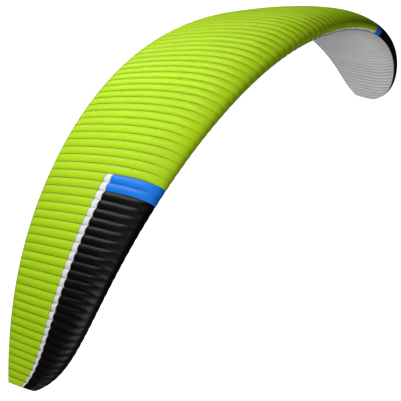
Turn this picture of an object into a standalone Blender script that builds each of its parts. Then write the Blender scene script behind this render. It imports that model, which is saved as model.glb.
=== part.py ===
# Paraglider canopy in flight: a ram-air wing of 99 cells, arched over its span, all cloth.
# Metres, +Z up, +X along the span to the wing's left-hand tip, the nose towards -Y.
# The origin is on the underside at mid-span, where the suspension lines would gather the load.
import math

import bmesh
import bpy
from mathutils import Vector

# --- whole wing -------------------------------------------------------------------------------
HALF_SPAN = 6.35                # half of the flat span, measured along the arch
ROOT_CHORD = 2.37               # nose to trailing edge at mid-span
CELLS = 99                      # cells from tip to tip, the middle one on the centre line
TIP_CELL_SHARE = 0.090          # relative width of the cell at each tip ...
MID_CELL_SHARE = 0.152          # ... and of the middle cell, in proportion between them
NOSE_SWEEP = {2: 0.488, 4: 0.357, 9: 0.196, 20: 0.144, 40: 0.100}    # the nose runs aft, per power of the span
TAIL_SWEEP = {2: 0.872, 4: -0.337, 9: -0.029, 20: 0.103}             # the trailing edge runs forward by these
ARCH_ANGLE = {1: 53.5, 3: 7.2, 6: 38.7, 12: -45.0}           # slope of the arch in degrees, per power of the span
TWIST_ANGLE = {2: 2.7, 6: -4.0}                              # nose-up wash-in in degrees, per power of the span
TWIST_POINT = 0.30              # fraction of the chord that the arch and the twist are measured at

# --- section of a cell ------------------------------------------------------------------------
THICKNESS = 0.180               # of the chord
CAMBER = 0.005                  # of the chord
CLOTH = 0.002                   # sheet thickness of every panel
GAP = 0.0003                    # between neighbouring panels
TIP_CLEARANCE = 0.001           # round the closing panel in a tip, which the sails curl past
TIP_PANEL_REACH = 0.80          # how far aft of the white band the closing panel runs
UPPER_BULGE = 0.125             # height of a cell's crown over its ribs, of the cell's width
LOWER_BULGE = 0.085
BULGE_RUNOUT = 0.10             # fraction of the chord over which the crown dies out at the trailing edge
NOSE_BULGE = 0.30               # share of the crown that is left at the nose ...
NOSE_RUN = 0.12                 # ... and the fraction of the chord over which it grows to the whole

# --- air intakes under the nose -----------------------------------------------------------------
INTAKE_TOP = 0.012              # upper edge of an intake, as a fraction of the chord on the underside
INTAKE_LIP = 0.034              # front edge of the lower sail, the intake's lower lip
STRIP_WIDTH = 0.014             # cloth left standing on each rib between two intakes

# --- colour panels --------------------------------------------------------------------------------
BAND_FRONT = 0.37               # the white band lies between these fractions of the chord
BAND_BACK = 0.43
ACCENT_CELLS = 2                # width of the blue panel in cells

# Panel groups from a tip to the middle: first rib, last rib. Ribs are counted from the tip.
SIDE_GROUPS = {"tip": (0, 9), "outer": (9, 18), "mid": (18, 27), "inner": (27, 35), "root": (35, 44)}
CLOSED_GROUPS = ("tip", "outer", "mid")          # no intakes, and panelled in four colours
SHALLOW_GROUPS = ("tip", "outer")

# Chord stations, upper trailing edge first; those on the underside are negative.
UPPER_FULL = (1.0, 0.55, 0.20, 0.04, 0.0)        # panels in one colour
NOSE_PANEL = (0.18, 0.05, 0.0)                   # in front of the white band
LOWER_LONG = (-0.15, -0.50, -1.0)                # on the deep cells of the middle
LOWER_SHORT = (-0.25, -1.0)                      # on the shallow cells near the tips

COLOURS = {
    "green": (0.42, 0.72, 0.03),
    "black": (0.012, 0.012, 0.014),
    "white": (0.82, 0.83, 0.85),
    "blue": (0.01, 0.22, 0.85),
}

ARCH_STEPS = 240


def power_sum(terms, u):
    """Sum of coefficient * u ** power."""
    return sum(size * u ** power for power, size in terms.items())


def rib_fractions():
    """Span fraction of each rib, -1 at one tip to +1 at the other."""
    middle = (CELLS - 1) / 2
    widths = []
    for cell in range(CELLS):
        inward = 1 - abs(cell - middle) / middle
        widths.append(TIP_CELL_SHARE + (MID_CELL_SHARE - TIP_CELL_SHARE) * inward)
    whole = sum(widths)
    fractions = [-1.0]
    for width in widths:
        fractions.append(fractions[-1] + 2 * width / whole)
    return fractions


def arch_line():
    """Points (x, z) of the arch from mid-span to a tip, at even steps of the flat span."""
    step = HALF_SPAN / ARCH_STEPS
    x = z = 0.0
    line = [(x, z)]
    for index in range(ARCH_STEPS):
        slope = math.radians(power_sum(ARCH_ANGLE, (index + 0.5) / ARCH_STEPS))
        x += math.cos(slope) * step
        z -= math.sin(slope) * step
        line.append((x, z))
    return line


RIBS = rib_fractions()
ARCH = arch_line()


def span_fraction(station):
    """Span fraction at a station counted in ribs: 27.5 is the middle of the cell after rib 27."""
    rib = min(int(station), CELLS - 1)
    return RIBS[rib] + (station - rib) * (RIBS[rib + 1] - RIBS[rib])


def arch_point(u):
    """x and z of the arch at span fraction u."""
    place = min(abs(u), 1.0) * ARCH_STEPS
    low = min(int(place), ARCH_STEPS - 1)
    (x0, z0), (x1, z1) = ARCH[low], ARCH[low + 1]
    part = place - low
    return math.copysign(x0 + (x1 - x0) * part, u), z0 + (z1 - z0) * part


def chord_at(u):
    return ROOT_CHORD - power_sum(TAIL_SWEEP, abs(u)) - power_sum(NOSE_SWEEP, abs(u))


def cell_width(cell):
    return (RIBS[cell + 1] - RIBS[cell]) * HALF_SPAN


def crown_height(station, chord_place):
    """How far the cloth stands proud of the straight line between its two ribs."""
    cell = min(int(station), CELLS - 1)
    tent = 1 - abs(2 * (station - cell) - 1)
    tail = min(1.0, (1 - abs(chord_place)) / BULGE_RUNOUT)
    nose = min(1.0, NOSE_BULGE + (1 - NOSE_BULGE) * abs(chord_place) / NOSE_RUN)
    share = UPPER_BULGE if chord_place >= 0 else LOWER_BULGE
    return share * cell_width(cell) * tent * tail * nose


def section_height(chord_place):
    """Height of the section over its chord line, as a fraction of the chord."""
    place = abs(chord_place)
    half = 5 * THICKNESS * (0.2969 * math.sqrt(place) - 0.1260 * place - 0.3516 * place ** 2
                            + 0.2843 * place ** 3 - 0.1036 * place ** 4)
    line = CAMBER * 4 * place * (1 - place)
    return line + math.copysign(half, chord_place)


def smooth_point(u, chord_place):
    """A point of the wing's outer face, with no cell crowns. chord_place is 1 at the upper
    trailing edge, 0 at the nose and -1 at the lower trailing edge."""
    x, z = arch_point(u)
    slope = math.radians(power_sum(ARCH_ANGLE, abs(u)))
    up = Vector((math.copysign(math.sin(slope), u), 0, math.cos(slope)))
    aft = Vector((0, 1, 0))
    twist = math.radians(power_sum(TWIST_ANGLE, abs(u)))
    along = aft * math.cos(twist) - up * math.sin(twist)
    normal = up * math.cos(twist) + aft * math.sin(twist)
    chord = chord_at(u)
    pivot = Vector((x, power_sum(NOSE_SWEEP, abs(u)) + TWIST_POINT * chord, z))
    place = abs(chord_place)
    stand_off = math.copysign((CLOTH + GAP / 2) * place, chord_place)    # room for both sheets at the tail
    return pivot + along * (place - TWIST_POINT) * chord + normal * (section_height(chord_place) * chord + stand_off)


def outward(u, chord_place):
    """Unit normal of the outer face."""
    du = 0.002
    u = max(-1 + du, min(1 - du, u))
    root = math.copysign(math.sqrt(abs(chord_place)), chord_place)    # even steps round the nose
    step = 0.02
    fore = max(-0.999, root - step)
    back = min(0.999, root + step)
    span = smooth_point(u + du, chord_place) - smooth_point(u - du, chord_place)
    chord = smooth_point(u, back * abs(back)) - smooth_point(u, fore * abs(fore))
    return span.cross(chord).normalized()


def cloth_point(station, chord_place, depth=0.0):
    """A point of the cloth: on its outer face, or depth inside it."""
    u = span_fraction(station)
    lift = crown_height(station, chord_place) - depth
    return smooth_point(u, chord_place) + outward(u, chord_place) * lift


ORIGIN_SHIFT = -cloth_point(CELLS / 2, -TWIST_POINT)


def move_along_chord(station, chord_place, distance):
    """The chord place that lies distance further towards the upper trailing edge."""
    u = span_fraction(station)
    step = 0.004
    here = smooth_point(u, chord_place)
    ahead = smooth_point(u, chord_place + (step if chord_place + step <= 1 else -step))
    return chord_place + distance * step / (ahead - here).length


def make_material(name, colour):
    material = bpy.data.materials.new(name)
    material.use_nodes = True
    shader = material.node_tree.nodes["Principled BSDF"]
    shader.inputs["Base Color"].default_value = (*colour, 1)
    shader.inputs["Roughness"].default_value = 0.55
    shader.inputs["Metallic"].default_value = 0.0
    return material


def make_object(name, mesh_builder, material):
    """Turn the closed body's faces outward and put it in the scene."""
    bmesh.ops.recalc_face_normals(mesh_builder, faces=mesh_builder.faces)
    if mesh_builder.calc_volume(signed=True) < 0:
        bmesh.ops.reverse_faces(mesh_builder, faces=mesh_builder.faces)
    mesh = bpy.data.meshes.new(name)
    mesh_builder.to_mesh(mesh)
    mesh_builder.free()
    mesh.materials.append(material)
    body = bpy.data.objects.new(name, mesh)
    bpy.context.collection.objects.link(body)
    return body


def off_rib(key):
    """How far a (station, place) key lies from the nearest rib, in cells."""
    return abs(key[0] - round(key[0]))


def folded(patch):
    """Split a patch of four corners along the diagonal that starts behind at its rib."""
    if len(patch) == 3:
        return [patch]
    left_back, right_back, right_fore, left_fore = patch
    if off_rib(left_back) < off_rib(right_back):
        return [[left_back, right_back, right_fore], [left_back, right_fore, left_fore]]
    return [[left_back, right_back, left_fore], [right_back, right_fore, left_fore]]


def thicken(name, patches, material):
    """Give a set of outer patches the cloth's thickness, with both skins folded along the same lines.
    A patch is a ring of (station, place) keys."""
    patches = [triangle for patch in patches for triangle in folded(patch)]
    builder = bmesh.new()
    skins = {}
    for depth in (0.0, CLOTH):
        for key in dict.fromkeys(key for patch in patches for key in patch):
            skins[key, depth] = builder.verts.new(cloth_point(*key, depth) + ORIGIN_SHIFT)
    edges = {}
    for patch in patches:
        builder.faces.new([skins[key, 0.0] for key in patch])
        builder.faces.new([skins[key, CLOTH] for key in reversed(patch)])
        for start, end in zip(patch, patch[1:] + patch[:1]):
            edges[start, end] = True
    for start, end in edges:
        if (end, start) not in edges:
            builder.faces.new([skins[end, 0.0], skins[start, 0.0], skins[start, CLOTH], skins[end, CLOTH]])
    return make_object(name, builder, material)


def stations_between(first, last):
    """Ribs and mid-cells from rib first to rib last, drawn in by half the gap where a neighbour follows."""
    stations = [first + half / 2 for half in range(2 * (last - first) + 1)]
    if first > 0:
        stations[0] = first + GAP / 2 / cell_width(first)
    if last < CELLS:
        stations[-1] = last - GAP / 2 / cell_width(last - 1)
    return stations


def grid_patches(stations, places):
    patches = []
    for left, right in zip(stations, stations[1:]):
        for back, fore in zip(places, places[1:]):
            patches.append([(left, back), (right, back), (right, fore), (left, fore)])
    return patches


def drawn_in(places):
    """The same chord stations, with both ends drawn in by half the gap unless they are a trailing edge."""
    inner = list(places)
    middle = CELLS / 2
    if inner[0] < 1:
        inner[0] = move_along_chord(middle, inner[0], -GAP / 2)
    if inner[-1] > -1:
        inner[-1] = move_along_chord(middle, inner[-1], GAP / 2)
    return inner


def sail_panel(name, first, last, places, material):
    """A plain panel of cloth over the cells between two ribs."""
    return thicken(name, grid_patches(stations_between(first, last), drawn_in(places)), material)


def mouth_panel(name, first, last, material):
    """An upper panel that ends over the intakes, with a strip of cloth down each rib to the lower sail."""
    stations = stations_between(first, last)
    nose = UPPER_FULL[-1]
    top = -INTAKE_TOP
    lip = drawn_in((nose, -INTAKE_LIP))[-1]
    patches = grid_patches(stations, UPPER_FULL)
    for left, right in zip(stations, stations[1:]):
        half_strip = STRIP_WIDTH / 2 / cell_width(int((left + right) / 2))
        if stations.index(left) % 2 == 0:        # from a rib to the middle of its cell
            beside = left + half_strip
            patches.append([(left, nose), (right, nose), (right, top), (beside, top)])
            patches.append([(left, nose), (beside, top), (left, top)])
            patches.append([(left, top), (beside, top), (beside, lip), (left, lip)])
        else:
            beside = right - half_strip
            patches.append([(left, nose), (right, nose), (beside, top), (left, top)])
            patches.append([(right, nose), (right, top), (beside, top)])
            patches.append([(beside, top), (right, top), (right, lip), (beside, lip)])
    return thicken(name, patches, material)


def tip_panel(name, end, material):
    """The flat closing panel inside a tip's open end."""
    inside = CLOTH + TIP_CLEARANCE
    outline_places = [BAND_BACK, BAND_FRONT, *NOSE_PANEL, -INTAKE_LIP, *LOWER_SHORT[:-1]]
    inner_end = end + (CLOTH if end == 0 else -CLOTH) / cell_width(0)
    rings = []
    builder = bmesh.new()
    for station in (end, inner_end):
        ring = [cloth_point(station, place, inside) for place in outline_places]
        upper_tail = cloth_point(station, 1.0, inside)
        lower_tail = cloth_point(station, -1.0, inside)
        ring.insert(0, ring[0].lerp(upper_tail, TIP_PANEL_REACH))
        ring.append(ring[-1].lerp(lower_tail, TIP_PANEL_REACH))
        rings.append([builder.verts.new(point + ORIGIN_SHIFT) for point in ring])
    builder.faces.new(rings[0])
    builder.faces.new(reversed(rings[1]))
    for index in range(len(rings[0])):
        follow = (index + 1) % len(rings[0])
        builder.faces.new([rings[0][index], rings[0][follow], rings[1][follow], rings[1][index]])
    return make_object(name, builder, material)


def build_side_group(group, side, cloths):
    """All panels of one group on one side of the wing."""
    near, far = SIDE_GROUPS[group]
    first, last = (near, far) if side == "right" else (CELLS - far, CELLS - near)
    tag = f"{group}_{side}"
    lower_places = LOWER_SHORT if group in SHALLOW_GROUPS else LOWER_LONG
    sail_panel(f"lower_sail_{tag}", first, last, (-INTAKE_LIP,) + lower_places, cloths["white"])
    if group not in CLOSED_GROUPS:
        mouth_panel(f"upper_sail_{tag}", first, last, cloths["green"])
        return
    sail_panel(f"upper_sail_{tag}", first, last, (1.0, BAND_BACK), cloths["green"])
    sail_panel(f"band_{tag}", first, last, (BAND_BACK, BAND_FRONT), cloths["white"])
    nose_places = (BAND_FRONT,) + NOSE_PANEL + (-INTAKE_LIP,)
    if group == CLOSED_GROUPS[-1]:
        inner = ACCENT_CELLS
        blue = (last - inner, last) if side == "right" else (first, first + inner)
        sail_panel(f"accent_{side}", *blue, nose_places, cloths["blue"])
        first, last = (first, last - inner) if side == "right" else (first + inner, last)
    sail_panel(f"nose_{tag}", first, last, nose_places, cloths["black"])


def main():
    for old in list(bpy.data.objects):
        bpy.data.objects.remove(old, do_unlink=True)
    cloths = {name: make_material(f"cloth_{name}", colour) for name, colour in COLOURS.items()}
    middle_first = SIDE_GROUPS["root"][1]
    middle_last = CELLS - middle_first
    mouth_panel("upper_sail_centre", middle_first, middle_last, cloths["green"])
    sail_panel("lower_sail_centre", middle_first, middle_last, (-INTAKE_LIP,) + LOWER_LONG, cloths["white"])
    for side in ("right", "left"):
        for group in SIDE_GROUPS:
            build_side_group(group, side, cloths)
        tip_panel(f"tip_{side}", 0 if side == "right" else CELLS, cloths["white"])


main()
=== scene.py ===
import math

import bpy
import numpy as np
from mathutils import Matrix, Vector


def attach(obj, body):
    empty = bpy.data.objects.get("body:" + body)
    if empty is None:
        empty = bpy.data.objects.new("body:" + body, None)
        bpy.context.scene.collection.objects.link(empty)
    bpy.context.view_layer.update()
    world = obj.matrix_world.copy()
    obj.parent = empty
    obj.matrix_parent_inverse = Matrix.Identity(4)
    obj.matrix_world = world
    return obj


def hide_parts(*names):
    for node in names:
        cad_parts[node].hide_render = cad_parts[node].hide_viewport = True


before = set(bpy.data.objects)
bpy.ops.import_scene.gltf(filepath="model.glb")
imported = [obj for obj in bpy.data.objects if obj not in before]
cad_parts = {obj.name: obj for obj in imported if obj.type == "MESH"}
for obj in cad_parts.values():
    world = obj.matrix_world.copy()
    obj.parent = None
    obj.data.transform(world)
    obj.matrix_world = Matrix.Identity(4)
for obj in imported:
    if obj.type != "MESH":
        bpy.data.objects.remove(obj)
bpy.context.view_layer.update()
print("frame loaded")

# Metres. +X runs to the wing's left-hand tip, -Y to the nose, +Z up. A station counts ribs from the
# right-hand tip. A chord place runs from 1 at the upper trailing edge through 0 at the nose to -1 at
# the lower trailing edge.
wing = {
    "halfSpan": 6.35,           # measured along the arch
    "rootChord": 2.37,          # at mid-span
    "cells": 99,
    "closedCells": 27,          # at each end, with no intake
    "tipCellShare": 0.090,      # relative width of the cell at each tip ...
    "midCellShare": 0.152,      # ... and of the middle cell
    # how far each edge draws in towards the tips, for each power of the span
    "noseSweep": {2: 0.488, 4: 0.357, 9: 0.196, 20: 0.144, 40: 0.100},
    "tailSweep": {2: 0.872, 4: -0.337, 9: -0.029, 20: 0.103},
    # degrees of slope, and of nose-up twist, for each power of the span
    "archAngle": {1: 53.5, 3: 7.2, 6: 38.7, 12: -45.0},
    "archSteps": 2000,
    "twistAngle": {2: 2.7, 6: -4.0},
    "twistPoint": 0.30,         # the chord place that the arch and the twist are measured at
    "thickness": 0.180,         # of the chord, and so is the camber
    "camber": 0.005,
    # half the thickness of a common wing section, for each power of the chord place
    "sectionTerms": {0.5: 0.2969, 1: -0.1260, 2: -0.3516, 3: 0.2843, 4: -0.1036},
    "cloth": 0.0010,            # sheet thickness
    "tailGap": 0.0010,          # half the way between the outer faces at the trailing edge
    "upperBulge": 0.210,        # crown height over the ribs, as a share of the cell's width
    "lowerBulge": 0.240,
    "solidBulge": 0.085,        # the lower sail's crown in the solids, which sets the origin
    "tailRun": 0.10,            # the crown runs out over this part of the chord at the trailing edge
    "noseBulge": 0.16,          # share of the crown that is left at the nose, where rods hold the cloth
    "noseRun": 0.18,            # the crown grows to the whole over this part of the chord
    "unevenness": 0.07,         # how much one cell's crown differs from the next
    "unevenTurns": (2.4, 7.0, 1.9),         # from cell to cell, along the chord, and both together
    "pucker": 0.0016,           # height of the cloth's gathers at a rib
    "puckerReach": 0.028,
    "puckerWaves": ((0.105, 2.4), (0.163, 4.1)),        # length of each, and its turn from rib to rib
    "puckerEnds": (0.08, 0.05),             # they fade over these parts of the chord, at nose and tail
    "intakeTop": 0.012,         # upper edge of an intake, as a chord place on the underside
    "intakeLip": 0.034,         # front edge of the lower sail
    "hem": 0.0012,              # height of the rolled hems at the intakes' lips
    "hemWidth": 0.004,          # half width, as a chord place
    "hemRun": 0.25,             # they fade over this part of the last open cell
    "stripWidth": 0.014,        # cloth left on a rib between two intakes
    "bandFront": 0.37,          # chord places that the white band lies between
    "bandBack": 0.43,
    "accentCells": 2,           # width of the blue panel
}


def powerSum(terms, u):
    return sum(size * u ** power for power, size in terms.items())


def ribPlaces():
    # -1 at the right-hand tip to 1 at the left-hand one
    middle = (wing["cells"] - 1) / 2
    inward = 1 - np.abs(np.arange(wing["cells"]) - middle) / middle
    widths = wing["tipCellShare"] + (wing["midCellShare"] - wing["tipCellShare"]) * inward
    return np.concatenate([[-1.0], -1 + 2 * np.cumsum(widths) / widths.sum()])


ribs = ribPlaces()
cellWidths = np.diff(ribs) * wing["halfSpan"]
closed, openEnd = wing["closedCells"], wing["cells"] - wing["closedCells"]
# the arch, summed from its slope in small steps from mid-span to a tip
archSpan = np.linspace(0, 1, wing["archSteps"] + 1)
archSlope = np.radians(powerSum(wing["archAngle"], (archSpan[:-1] + archSpan[1:]) / 2))
archX = np.concatenate([[0], np.cumsum(np.cos(archSlope))]) * wing["halfSpan"] / wing["archSteps"]
archZ = np.concatenate([[0], -np.cumsum(np.sin(archSlope))]) * wing["halfSpan"] / wing["archSteps"]


def chordAt(u):
    u = np.abs(u)
    return wing["rootChord"] - powerSum(wing["tailSweep"], u) - powerSum(wing["noseSweep"], u)


def sectionHeight(place):
    # above the chord line, as a share of the chord
    p = np.abs(place)
    half = 5 * wing["thickness"] * powerSum(wing["sectionTerms"], p)
    return wing["camber"] * 4 * p * (1 - p) + np.copysign(half, place)


def sectionFrame(u):
    # the chord line's turning point, and its directions aft and up
    side, s = np.sign(u), np.minimum(np.abs(u), 1)
    slope = np.radians(powerSum(wing["archAngle"], s))
    twist = np.radians(powerSum(wing["twistAngle"], s))[..., None]
    up = np.stack([side * np.sin(slope), np.zeros_like(s), np.cos(slope)], -1)
    aft = np.array([0.0, 1.0, 0.0])
    pivot = np.stack([side * np.interp(s, archSpan, archX),
                      powerSum(wing["noseSweep"], s) + wing["twistPoint"] * chordAt(s),
                      np.interp(s, archSpan, archZ)], -1)
    return pivot, aft * np.cos(twist) - up * np.sin(twist), up * np.cos(twist) + aft * np.sin(twist)


def smoothPoint(u, place):
    # on the wing's form without crowns
    pivot, along, normal = sectionFrame(u)
    chord, p = chordAt(u), np.abs(place)
    height = sectionHeight(place) * chord + np.copysign(wing["tailGap"] * p, place)
    return pivot + along * ((p - wing["twistPoint"]) * chord)[..., None] + normal * height[..., None]


def outward(u, place):
    # the form's direction outwards, from short steps along it. The chord's steps are even in the square
    # root of the place, which keeps them short at the nose
    du, step, last = 0.002, 0.02, 0.999
    u = np.clip(u, -1 + du, 1 - du)
    root = np.copysign(np.sqrt(np.abs(place)), place)
    fore, back = np.maximum(-last, root - step), np.minimum(last, root + step)
    span = smoothPoint(u + du, place) - smoothPoint(u - du, place)
    chord = smoothPoint(u, back * np.abs(back)) - smoothPoint(u, fore * np.abs(fore))
    normal = np.cross(span, chord)
    return normal / np.linalg.norm(normal, axis=-1, keepdims=True)


def cellAt(station):
    return np.minimum(station.astype(int), wing["cells"] - 1)


def spanAt(station):
    cell = cellAt(station)
    return ribs[cell] + (station - cell) * (ribs[cell + 1] - ribs[cell])


def crownHeight(station, place):
    # a parabola over each cell, eased at the nose and the tail
    cell = cellAt(station)
    across = station - cell
    tail = np.minimum(1, (1 - np.abs(place)) / wing["tailRun"])
    nose = np.minimum(1, np.abs(place) / wing["noseRun"])
    nose = wing["noseBulge"] + (1 - wing["noseBulge"]) * nose * nose * (3 - 2 * nose)
    share = np.where(place >= 0, wing["upperBulge"], wing["lowerBulge"])
    byCell, byPlace, drift = wing["unevenTurns"]
    uneven = np.sin(byCell * cell) * np.sin(byPlace * place + drift * cell)
    share = share * (1 - wing["unevenness"] * (1 - uneven) / 2)
    return share * cellWidths[cell] * 4 * across * (1 - across) * tail * (2 - tail) * nose


def puckerHeight(station, place):
    # small gathers along each rib, the same on both sides of it
    nearest = np.rint(station)
    fromRib = np.abs(station - nearest) * cellWidths[cellAt(station)]
    along = place * chordAt(spanAt(station))
    wave = sum(np.sin(2 * math.pi * along / length + turn * nearest) for length, turn in wing["puckerWaves"])
    nose, tail = wing["puckerEnds"]
    ends = np.clip(np.abs(place) / nose, 0, 1) * np.clip((1 - np.abs(place)) / tail, 0, 1)
    return wing["pucker"] * (wave / 4 + 0.5) * np.exp(-(fromRib / wing["puckerReach"]) ** 2) * ends


def hemHeight(station, place):
    # a low ridge along both lips of the intakes
    width = wing["hemWidth"]
    roll = sum(np.clip(1 - np.abs(place - middle) / width, 0, 1)
               for middle in (width - wing["intakeTop"], -wing["intakeLip"] - width))
    inside = np.minimum(station - closed, openEnd - station)
    return wing["hem"] * roll * np.clip(inside / wing["hemRun"], 0, 1)


def clothPoint(station, place, depth=0.0):
    # on the cloth's outer face, or a depth below it
    u = spanAt(station)
    lift = crownHeight(station, place) + puckerHeight(station, place) + hemHeight(station, place) - depth
    return smoothPoint(u, place) + outward(u, place) * lift[..., None]


def originPoint():
    # the middle of the underside at the turning point, with the full crown that the solids have there
    station, place = np.array([wing["cells"] / 2]), np.array([-wing["twistPoint"]])
    crown = wing["solidBulge"] * cellWidths[wing["cells"] // 2]
    return (smoothPoint(spanAt(station), place) + outward(spanAt(station), place) * crown)[0]


lattice = {
    "acrossCell": 8,            # steps between the strips' edges
    "aft": 46,                  # from the upper trailing edge to the band
    "band": 3,
    "front": 30,                # from the band to the nose
    "overIntake": 4,
    "hem": 4,
    "intake": 4,
    "underNose": 8,             # from the lower lip's hem to the place below
    "underStart": -0.15,
    "under": 56,                # from there to the lower trailing edge
    "evenRuns": ("aft", "band", "under"),   # the others are closer together towards the nose
}


def stationLine():
    # each rib, the strips' edges beside it, and the steps across the cell
    line = []
    for cell, width in enumerate(cellWidths):
        edge = wing["stripWidth"] / 2 / width
        line += [float(cell), *(cell + np.linspace(edge, 1 - edge, lattice["acrossCell"] + 1))]
    return np.array(line + [float(wing["cells"])])


def placeLine():
    # chord places from one mark to the next
    top, lip, hem = -wing["intakeTop"], -wing["intakeLip"], 2 * wing["hemWidth"]
    marks = [(wing["bandBack"], "aft"), (wing["bandFront"], "band"), (0.0, "front"),
             (top + hem, "overIntake"), (top, "hem"), (lip, "intake"), (lip - hem, "hem"),
             (lattice["underStart"], "underNose"), (-1.0, "under")]
    line, start = [1.0], 1.0
    for end, steps in marks:
        first, last = (math.copysign(math.sqrt(abs(place)), place) for place in (start, end))
        run = np.linspace(first, last, lattice[steps] + 1)[1:]
        even = np.linspace(start, end, lattice[steps] + 1)[1:]
        line += list(even if steps in lattice["evenRuns"] else run * np.abs(run))
        start = end
    return np.array(line)


stations, places = stationLine(), placeLine()
stationGrid, placeGrid = np.meshgrid(stations, places, indexing="ij")
originShift = -originPoint()
outerSkin = clothPoint(stationGrid, placeGrid) + originShift
innerSkin = clothPoint(stationGrid, placeGrid, wing["cloth"]) + originShift
cellGrid = cellAt(stationGrid)
fromRib = np.minimum(stationGrid - cellGrid, 1 - stationGrid + cellGrid) * cellWidths[cellGrid]
chordSteps = np.diff(outerSkin, axis=1, prepend=outerSkin[:, :1])
alongChord = np.cumsum(np.linalg.norm(chordSteps, axis=2), axis=1)
cellSteps = lattice["acrossCell"] + 2
stripColumns = np.isin(np.arange(len(stations) - 1) % cellSteps, (0, cellSteps - 1))
print("lattice made:", len(stations), "x", len(places))


def between(first, last):
    # lattice columns of the cells from one rib to another
    middle = (stations[:-1] + stations[1:]) / 2
    return (middle > first) & (middle < last)


def chordwise(back, fore):
    # lattice rows from one chord place to another
    middle = (places[:-1] + places[1:]) / 2
    return (middle < back) & (middle > fore)


def region(columns, rows):
    return columns[:, None] & rows[None, :]


def addCoordinates(mesh, layers):
    # one pair of numbers a vertex for each layer
    corners = np.empty(len(mesh.loops), dtype=np.int32)
    mesh.loops.foreach_get("vertex_index", corners)
    for name, values in layers.items():
        mesh.uv_layers.new(name=name).uv.foreach_set("vector", values[corners].astype(np.float32).ravel())


def addObject(name, data):
    thing = bpy.data.objects.new(name, data)
    bpy.context.scene.collection.objects.link(thing)
    return thing


def declareCloth(piece, flat, area, cloth, nodes):
    print(f"{piece.name}: cut {flat[0]:.3f} x {flat[1]:.3f} m, {area:.3f} square metres")
    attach(piece, "root")
    "cloth_" + cloth
    if nodes:
        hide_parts(*nodes)


def sheetMesh(name, mask, seams):
    # one panel cut from the lattice: its two skins and the rim between them, creased at the ribs. An edge
    # belongs to the rim where no second face has it the other way round
    rows, columns = stationGrid.shape
    number = np.arange(rows * columns).reshape(rows, columns)
    i, j = np.nonzero(mask)
    quads = np.stack([number[i, j], number[i + 1, j], number[i + 1, j + 1], number[i, j + 1]], 1)
    edges = np.stack([quads, np.roll(quads, -1, axis=1)], 2).reshape(-1, 2)
    keys, mirrored = edges @ [rows * columns, 1], edges @ [1, rows * columns]
    used, quads = np.unique(quads, return_inverse=True)
    quads, count = quads.reshape(-1, 4), len(used)
    rim = np.searchsorted(used, edges[~np.isin(keys, mirrored)])
    walls = np.stack([rim[:, 1], rim[:, 0], rim[:, 0] + count, rim[:, 1] + count], 1)
    points = np.concatenate([skin.reshape(-1, 3)[used] for skin in (outerSkin, innerSkin)])
    mesh = bpy.data.meshes.new(name)
    mesh.from_pydata(points.tolist(), [], np.concatenate([quads, quads[:, ::-1] + count, walls]).tolist())

    seamAt = [int(np.argmin(np.abs(places - seam))) for seam in seams]
    toSeam = np.min([np.abs(alongChord - alongChord[:, at, None]) for at in seamAt], axis=0)
    layers = {"cloth": (fromRib, alongChord), "panel": (stationGrid, placeGrid), "seam": (toSeam, toSeam)}
    addCoordinates(mesh, {layer: np.tile(np.stack([grid.reshape(-1)[used] for grid in pair], 1), (2, 1))
                          for layer, pair in layers.items()})
    onRib = np.tile(np.isclose(stationGrid.reshape(-1)[used] % 1, 0), 2)
    ends = np.empty(len(mesh.edges) * 2, dtype=np.int32)
    mesh.edges.foreach_get("vertices", ends)
    ends = ends.reshape(-1, 2)
    sharp = onRib[ends].all(axis=1) | ((ends < count).sum(axis=1) == 1)
    mesh.attributes.new("sharp_edge", "BOOLEAN", "EDGE").data.foreach_set("value", sharp)
    mesh.shade_smooth()
    mesh.update()
    return mesh


def cutSize(mask):
    # the size that the panel is cut to, measured over its surface
    across = np.linalg.norm(np.diff(outerSkin, axis=0), axis=2)
    along = np.linalg.norm(np.diff(outerSkin, axis=1), axis=2)
    width = float(np.where(mask, (across[:, :-1] + across[:, 1:]) / 2, 0).sum(axis=0).max())
    length = float(np.where(mask, (along[:-1] + along[1:]) / 2, 0).sum(axis=1).max())
    a, b, c, d = outerSkin[:-1, :-1], outerSkin[1:, :-1], outerSkin[1:, 1:], outerSkin[:-1, 1:]
    faceAreas = np.linalg.norm(np.cross(c - a, d - b), axis=2) / 2
    area = float(faceAreas[mask].sum())
    return (width, max(length, area / width)), area


class Wire:                     # an output socket, on which Python's operators add Math nodes
    def __init__(self, finish, socket):
        self.finish, self.socket = finish, socket

    def math(self, operation, *values):
        return self.finish.add("ShaderNodeMath", {"operation": operation}, dict(enumerate(values)))

    def __add__(self, other): return self.math("ADD", self, other)
    def __sub__(self, other): return self.math("SUBTRACT", self, other)
    def __mul__(self, other): return self.math("MULTIPLY", self, other)
    def __truediv__(self, other): return self.math("DIVIDE", self, other)
    def __radd__(self, other): return self.math("ADD", other, self)
    def __rsub__(self, other): return self.math("SUBTRACT", other, self)
    def __rmul__(self, other): return self.math("MULTIPLY", other, self)
    def __abs__(self): return self.math("ABSOLUTE", self)
    def part(self): return self.math("FRACT", self)
    def whole(self): return self.math("FLOOR", self)
    def positive(self): return self.math("MAXIMUM", self, 0.0)


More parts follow.
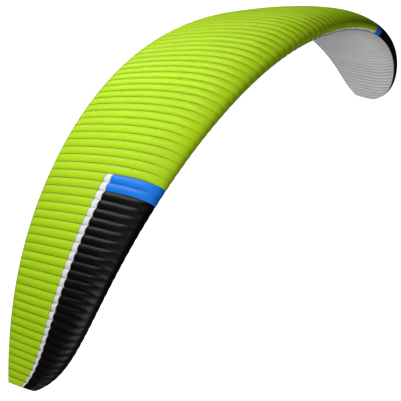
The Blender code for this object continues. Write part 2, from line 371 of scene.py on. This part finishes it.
class Finish:                   # a material in the making
    def __init__(self, name):
        self.material = bpy.data.materials.new(name)
        self.material.use_nodes = True
        self.tree = self.material.node_tree
        self.shader = self.tree.nodes["Principled BSDF"]

    def add(self, kind, settings=None, inputs=None, output=0):
        # any node: its settings first, then its sockets' values or links
        node = self.tree.nodes.new(kind)
        for key, value in (settings or {}).items():
            setattr(node, key, value)
        self.feed(node, inputs or {})
        return Wire(self, node.outputs[output])

    def feed(self, node, inputs):
        for key, value in inputs.items():
            if isinstance(value, Wire):
                self.tree.links.new(value.socket, node.inputs[key])
            elif node.inputs[key].type == "RGBA":
                node.inputs[key].default_value = (*value, 1)
            else:
                node.inputs[key].default_value = value

    def coordinates(self, layer):
        # both numbers of one of the sheet's coordinate layers
        pair = self.add("ShaderNodeUVMap", {"uv_map": layer})
        return tuple(self.add("ShaderNodeSeparateXYZ", None, {0: pair}, axis) for axis in (0, 1))

    def noise(self, where, scale, detail=2.0):
        return self.add("ShaderNodeTexNoise", None, {"Vector": where, "Scale": scale, "Detail": detail})

    def vector(self, x, y, z=0.0):
        return self.add("ShaderNodeCombineXYZ", None, {0: x, 1: y, 2: z})

    def scaled(self, colour, factor):
        return self.add("ShaderNodeVectorMath", {"operation": "SCALE"}, {0: colour, 3: factor})

    def mixed(self, factor, first, second):
        return self.add("ShaderNodeMix", {"data_type": "RGBA"}, {0: factor, 6: first, 7: second}, 2)


def near(distance, reach):
    # 1 at the line itself, fading out at the reach
    return (1 - distance / reach).positive()


def lines(value, pitch, width):
    # 1 on lines that lie a pitch apart, fading out half a width away
    return near(abs((value / pitch).part() - 0.5) * pitch, width / 2)


ripstop = {
    "grid": 0.006,              # between the thick threads, in metres
    "thread": 0.0011,
    "threadTone": 0.05,         # how much darker a thick thread looks
    "threadHeight": 0.00005,
    "threadShine": 0.03,        # how much smoother it is
    "seam": 0.066,              # reach of the dark line at a rib, partly the seam and partly painted shade of the crease, as a share of the cell's width
    "seamAndCreaseShadeTone": 0.52,
    "creaseShadeReach": 0.24,           # reach of the painted shade of the crease beside it
    "creaseShadeTone": 0.16,
    "noseFade": 0.12,           # the dark line and painted shade at the ribs are weaker from this chord place to the nose ...
    "noseLoss": 0.75,           # ... where this share of it is gone
    "panelSeam": 0.009,         # reach of the dark line where two panels join
    "panelTone": 0.50,
    "stitchRow": 0.0045,        # from the seam to its row of stitches
    "stitchWidth": 0.0008,      # half the width
    "stitch": 0.0040,           # from one stitch to the next
    "stitchLength": 0.005,
    "stitchHeight": 0.0003,
    "stitchTone": 0.8,          # how much of the thread's own colour shows
    "stitchRough": 0.10,        # how much rougher a stitch is
    "hemPlace": 0.030,          # the trailing edge's hem
    "hemReach": 0.012,
    "hemTone": 0.22,
    "pucker": 0.0080,           # height of the small folds along a rib
    "puckerReach": 0.055,
    "puckerTurns": 19.0,        # folds in a metre of seam
    "puckerDrift": 1.7,         # how much they change from rib to rib
    "puckerBase": 0.2,          # share of them that runs on across the cell
    "cellTint": 0.05,           # how much one cell's tone differs from the next
    "cellEdge": 0.0001,         # keeps a rib's own points in the cell before it
    "mottle": 0.06,             # slow change of tone over the cloth
    "mottleScale": 2.3,
    "mottleDetail": 3.0,
    "mottleRough": 0.10,        # and of roughness with it
}


def stitchRow(distance, run):
    # a row of stitches beside a seam
    row = near(abs(distance - ripstop["stitchRow"]), ripstop["stitchWidth"])
    return row * lines(run, ripstop["stitch"], ripstop["stitchLength"])


def sailCloth(name, look):
    finish = Finish(name)
    fromRib, alongChord = finish.coordinates("cloth")
    station, place = finish.coordinates("panel")
    seam, _ = finish.coordinates("seam")
    where = finish.add("ShaderNodeTexCoord", output="Object")

    grid = (lines(fromRib, ripstop["grid"], ripstop["thread"])
            + lines(alongChord, ripstop["grid"], ripstop["thread"]))
    stitches = stitchRow(fromRib, alongChord) + stitchRow(seam, fromRib)
    cell = finish.add("ShaderNodeTexWhiteNoise", {"noise_dimensions": "1D"},
                      {"W": (station - ripstop["cellEdge"]).whole() + look["seed"]})
    mottle = finish.noise(where, ripstop["mottleScale"], ripstop["mottleDetail"])
    folds = finish.noise(finish.vector(station * ripstop["puckerDrift"],
                                       alongChord * ripstop["puckerTurns"], look["seed"]), 1.0)

    # painted shade: each rib gets a dark line, partly its seam and partly the shade of the crease between
    # crowns, and a wider band of painted crease shade beside it, both weaker at the nose
    fade = 1 - ripstop["noseLoss"] * near(abs(place), ripstop["noseFade"])
    share = 0.5 - abs(station.part() - 0.5)
    shade = 1 - fade * (ripstop["seamAndCreaseShadeTone"] * look["seams"] * near(share, ripstop["seam"])
                        + ripstop["creaseShadeTone"] * look["shade"] * near(share, ripstop["creaseShadeReach"]))
    shade = shade * (1 - ripstop["panelTone"] * look["joins"] * near(seam, ripstop["panelSeam"]))
    hem = near(abs(alongChord - ripstop["hemPlace"]), ripstop["hemReach"])
    shade = shade * (1 - ripstop["hemTone"] * hem)
    tint = 1 + ripstop["cellTint"] * (cell - 0.5) + ripstop["mottle"] * (mottle - 0.5)
    base = finish.scaled(look["colour"], shade * tint * (1 - ripstop["threadTone"] * grid))
    byRib = near(fromRib, ripstop["puckerReach"]) + ripstop["puckerBase"]
    height = (folds - 0.5) * ripstop["pucker"] * look["folds"] * byRib
    height = height + ripstop["threadHeight"] * grid + ripstop["stitchHeight"] * stitches
    roughness = look["roughness"] + ripstop["mottleRough"] * (mottle - 0.5)
    finish.feed(finish.shader, {
        "Base Color": finish.mixed(stitches * ripstop["stitchTone"], base, look["thread"]),
        "Roughness": roughness + ripstop["stitchRough"] * stitches - ripstop["threadShine"] * grid,
        "Normal": finish.add("ShaderNodeBump", None, {"Strength": 1.0, "Distance": 1.0, "Height": height}),
        "Specular IOR Level": look["specular"],
    })
    return finish.material


# Seams, shade, joins and folds say how strongly a cloth shows the dark lines at its ribs, partly seam and
# partly painted crease shade, the painted shade beside them, the lines where panels join, and its small
# folds.
# Under is the underside's white cloth, painted darker as a shaded copy of the white.
cloths = {
    "green": {"colour": (0.50, 0.79, 0.012), "thread": (0.34, 0.56, 0.02), "roughness": 0.50,
              "specular": 0.14, "seams": 1.0, "shade": 1.0, "joins": 1.0, "folds": 1.0, "seed": 3.0},
    "black": {"colour": (0.0025, 0.0025, 0.003), "thread": (0.012, 0.012, 0.012), "roughness": 0.40,
              "specular": 0.17, "seams": 0.9, "shade": 0.9, "joins": 0.9, "folds": 0.45, "seed": 11.0},
    "white": {"colour": (0.93, 0.93, 0.935), "thread": (0.55, 0.55, 0.56), "roughness": 0.55,
              "specular": 0.20, "seams": 0.7, "shade": 0.7, "joins": 0.7, "folds": 0.6, "seed": 19.0},
    # under is the white cloth painted darker, as a shaded copy, with stronger painted shade at its ribs and
    # no lines at its joins
    "under": {"colour": (0.84, 0.84, 0.845), "thread": (0.55, 0.55, 0.56), "roughness": 0.55,
              "specular": 0.20, "seams": 1.1, "shade": 2.3, "joins": 0.0, "folds": 0.8, "seed": 23.0},
    "blue": {"colour": (0.008, 0.24, 0.92), "thread": (0.01, 0.08, 0.35), "roughness": 0.46,
             "specular": 0.25, "seams": 0.9, "shade": 0.9, "joins": 0.9, "folds": 0.6, "seed": 27.0},
}
finishes = {name: sailCloth("cloth_" + name, look) for name, look in cloths.items()}
print("materials made")


sides = ("right", "left")


def panel(name, mask, look, seams, nodes):
    mesh = sheetMesh(name, mask, seams)
    mesh.materials.append(finishes[look])
    # the underside is cut from the white cloth; its finish is a shaded copy of the white
    declareCloth(addObject(name, mesh), *cutSize(mask), "white" if look == "under" else look, nodes)


def middleNodes(kind):
    # the solids of one kind over the open cells
    return [f"{kind}_centre", *(f"{kind}_{part}_{side}" for part in ("root", "inner") for side in sides)]


def endCells(side, first, last):
    # columns of the cells between two ribs, counted from that side's tip
    if side == "right":
        return between(first, last)
    return between(wing["cells"] - last, wing["cells"] - first)


nearTip = closed - wing["accentCells"]
top, lip, bandBack, bandFront = -wing["intakeTop"], -wing["intakeLip"], wing["bandBack"], wing["bandFront"]
openCells = between(closed, openEnd)
middleSail = region(openCells, chordwise(1, top)) | region(openCells & stripColumns, chordwise(top, lip))
panel("upperSailMiddle", middleSail, "green", (1.0,), middleNodes("upper_sail"))
panel("lowerSailMiddle", region(openCells, chordwise(lip, -1)), "under", (lip, -1.0),
      middleNodes("lower_sail"))
for side in sides:
    for name, kind, look, rows, lastRib in (
            ("upperSail", "upper_sail", "green", (1.0, bandBack), closed),
            ("band", "band", "white", (bandBack, bandFront), closed),
            ("nosePanel", "nose", "black", (bandFront, lip), nearTip),
            ("lowerSail", "lower_sail", "under", (lip, -1.0), closed)):
        panel(name + side.title(), region(endCells(side, 0, lastRib), chordwise(*rows)), look, rows,
              [f"{kind}_{part}_{side}" for part in ("mid", "outer", "tip")])
    panel("accent" + side.title(), region(endCells(side, nearTip, closed), chordwise(bandFront, lip)),
          "blue", (bandFront, lip), [f"accent_{side}"])
print("panels made")

rib = {
    "sheet": 0.0010,
    "inside": 0.0012,           # how far its edge lies inside the sails' outer face
    "edgePoints": 40,
    "nose": 1e-5,               # square root of its first chord place
    "tail": 0.985,              # its last chord place
    "ports": [                  # place, half height and half width, as shares of the chord
        (0.09, 0.045, 0.022),
        (0.19, 0.062, 0.030),
        (0.32, 0.066, 0.030),
        (0.45, 0.056, 0.026),
        (0.57, 0.044, 0.020),
    ],
    "portPoints": 20,
    "tipInset": 0.03,           # how far inside the end of the wing a tip panel stands, in cells
    "spare": 1.25,              # cloth that is cut for each square metre of rib
    "leastCut": 0.01,           # metres
}


def ribRings(chord, ports):
    # the outline of a rib and its ports, along and across the chord line
    p = np.linspace(rib["nose"], 1, rib["edgePoints"]) ** 2
    p = p[p < rib["tail"]]
    inside = rib["inside"] / chord
    upper = np.stack([np.maximum(p, inside), sectionHeight(p) - inside], 1)
    lower = np.stack([np.maximum(p, inside), sectionHeight(-p) + inside], 1)
    rings = [np.concatenate([upper[::-1], lower[1:]])]
    angles = np.linspace(0, 2 * math.pi, rib["portPoints"], endpoint=False)
    for place, high, wide in ports:
        centre = float(sectionHeight(np.array(place)) + sectionHeight(np.array(-place))) / 2
        rings.append(np.stack([place + wide * np.cos(angles), centre + high * np.sin(angles)], 1))
    return [ring * chord for ring in rings]


def ribMesh(name, station, ports):
    # a flat rib of cloth, filled between its outline and its ports, and set on its station
    u = spanAt(np.array([float(station)]))
    chord = float(chordAt(u)[0])
    outline = bpy.data.curves.new(name, "CURVE")
    outline.dimensions, outline.fill_mode, outline.extrude = "2D", "BOTH", rib["sheet"] / 2
    for ring in ribRings(chord, ports):
        spline = outline.splines.new("POLY")
        spline.points.add(len(ring) - 1)
        spline.points.foreach_set("co", np.pad(ring, ((0, 0), (0, 2))).ravel())
        spline.use_cyclic_u = True
    holder = addObject(name, outline)
    mesh = bpy.data.meshes.new_from_object(holder)
    bpy.data.objects.remove(holder)
    flat = np.empty(len(mesh.vertices) * 3)
    mesh.vertices.foreach_get("co", flat)
    flat = flat.reshape(-1, 3)
    pivot, along, normal = (part[0] for part in sectionFrame(u))
    start = pivot - along * wing["twistPoint"] * chord + originShift
    points = start + flat[:, :1] * along + flat[:, 1:2] * normal + flat[:, 2:] * np.cross(along, normal)
    faces = [list(face.vertices) for face in mesh.polygons]
    bpy.data.meshes.remove(mesh)
    return points, faces, flat, chord


def ribSheet(name, ribStations, ports, nodes):
    # all these ribs as one piece. Its coordinates keep them clear of the seams' dark lines and painted
    # shade: a metre from any rib or join, and in the middle of a cell
    points, faces, cloth, panelPlace, count = [], [], [], [], 0
    for station in ribStations:
        placed, corners, flat, chord = ribMesh(name, station, ports)
        points.append(placed)
        faces += [[corner + count for corner in face] for face in corners]
        cloth.append(np.stack([1 + flat[:, 1], flat[:, 0]], 1))
        panelPlace.append(np.stack([np.full(len(flat), station + 0.5), flat[:, 0] / chord], 1))
        count += len(flat)
    mesh = bpy.data.meshes.new(name)
    mesh.from_pydata(np.concatenate(points).tolist(), [], faces)
    addCoordinates(mesh, {"cloth": np.concatenate(cloth), "panel": np.concatenate(panelPlace),
                          "seam": np.ones((count, 2))})
    mesh.materials.append(finishes["white"])
    area = sum(face.area for face in mesh.polygons) / 2
    longest = float(chordAt(spanAt(np.array(ribStations, dtype=float))).max())
    cut = (longest, max(area / longest * rib["spare"], rib["leastCut"]))
    declareCloth(addObject(name, mesh), cut, area, "white", nodes)


ribSheet("ribs", range(closed, openEnd + 1), rib["ports"], [])
ribSheet("tipPanelRight", [rib["tipInset"]], [], ["tip_right"])
ribSheet("tipPanelLeft", [wing["cells"] - rib["tipInset"]], [], ["tip_left"])
print("ribs made")

studio = {
    "lamps": [                  # direction to each far, wide lamp, and its strength
        ((0.3, 0.5, 0.8), 0.73),
        ((-0.75, 0.3, 0.55), 0.10),
        ((0.0, 0.9, 0.4), 0.10),
        ((-0.9, -0.3, 0.1), 1.6),
        ((-0.5, 0.2, -0.85), 0.27),
        ((0.0, -0.6, -0.8), 0.14),
    ],
    "bulbs": [                  # place of each near lamp, and its watts
        ((0.0, 6.0, 4.0), 385.0),
        ((-3.0, 1.0, 5.0), 562.0),
        ((-5.0, 3.0, 6.0), 126.0),
        ((-6.0, -2.5, 2.0), 68.0),
    ],
    "bulbSize": 1.2,
    "lampWidth": 30,            # degrees
    "sky": 0.01,
    "floorDepth": 40.0,
    "floorReach": 400.0,
    "floorTone": 0.90,
    "floorRoughness": 0.9,
    "floorSpecular": 0.1,
    "glow": 1.0,                # of the floor and of the dome round it
    "domeReach": 380.0,
    "domeRings": 24,
}


def addStage(name, mesh, finish):
    # it shows, but neither lights nor shades the wing
    mesh.materials.append(finish.material)
    piece = addObject(name, mesh)
    piece.visible_diffuse = piece.visible_glossy = False
    piece.visible_transmission = piece.visible_shadow = False


floorPaint = Finish("floor_paint")
floorPaint.feed(floorPaint.shader, {"Base Color": (studio["floorTone"],) * 3,
                                    "Roughness": studio["floorRoughness"],
                                    "Specular IOR Level": studio["floorSpecular"],
                                    "Emission Color": (1, 1, 1), "Emission Strength": studio["glow"]})
reach, depth = studio["floorReach"], -studio["floorDepth"]
floorMesh = bpy.data.meshes.new("floor")
floorMesh.from_pydata([(x * reach, y * reach, depth) for x, y in ((-1, -1), (1, -1), (1, 1), (-1, 1))],
                      [], [(0, 1, 2, 3)])
addStage("floor", floorMesh, floorPaint)

domePaint = Finish("dome_paint")
domePaint.feed(domePaint.shader, {"Base Color": (0, 0, 0), "Specular IOR Level": 0.0,
                                  "Emission Color": (1, 1, 1), "Emission Strength": studio["glow"]})
rings = studio["domeRings"]
bpy.ops.mesh.primitive_uv_sphere_add(segments=2 * rings, ring_count=rings, radius=studio["domeReach"])
domeMesh = bpy.context.object.data
bpy.data.objects.remove(bpy.context.object)
addStage("dome", domeMesh, domePaint)

world = bpy.data.worlds.new("studio")
world.use_nodes = True
background = world.node_tree.nodes["Background"]
background.inputs["Color"].default_value = (1, 1, 1, 1)
background.inputs["Strength"].default_value = studio["sky"]
bpy.context.scene.world = world


def addLamp(name, kind, strength):
    lamp = addObject(name, bpy.data.lights.new(name, kind))
    lamp.data.energy = strength
    lamp.visible_camera = False
    return lamp


for number, (toLamp, strength) in enumerate(studio["lamps"]):
    lamp = addLamp(f"lamp{number}", "SUN", strength)
    lamp.data.angle = math.radians(studio["lampWidth"])
    lamp.rotation_euler = Vector(toLamp).to_track_quat("Z", "Y").to_euler()
for number, (place, watts) in enumerate(studio["bulbs"]):
    bulb = addLamp(f"bulb{number}", "POINT", watts)
    bulb.data.shadow_soft_size = studio["bulbSize"]
    bulb.location = place

view = {
    "place": (-13.3207, -9.0009, 5.9718),
    "back": (-0.70303, -0.54532, 0.45649),  # away from what it looks at
    "up": (0.44537, 0.16284, 0.88042),
    "lens": 100.51,
    "sensor": 36.0,
    "farthest": 2000.0,
}
cameraData = bpy.data.cameras.new("camera")
cameraData.lens, cameraData.sensor_width = view["lens"], view["sensor"]
cameraData.clip_end = view["farthest"]
back, up = Vector(view["back"]).normalized(), Vector(view["up"]).normalized()
right = up.cross(back).normalized()
turn = Matrix((right, back.cross(right), back)).transposed()
camera = addObject("camera", cameraData)
camera.matrix_world = Matrix.LocRotScale(Vector(view["place"]), turn, None)
bpy.context.scene.camera = camera
bpy.context.scene.view_settings.view_transform = "Standard"
print("stage, lamps and camera made")
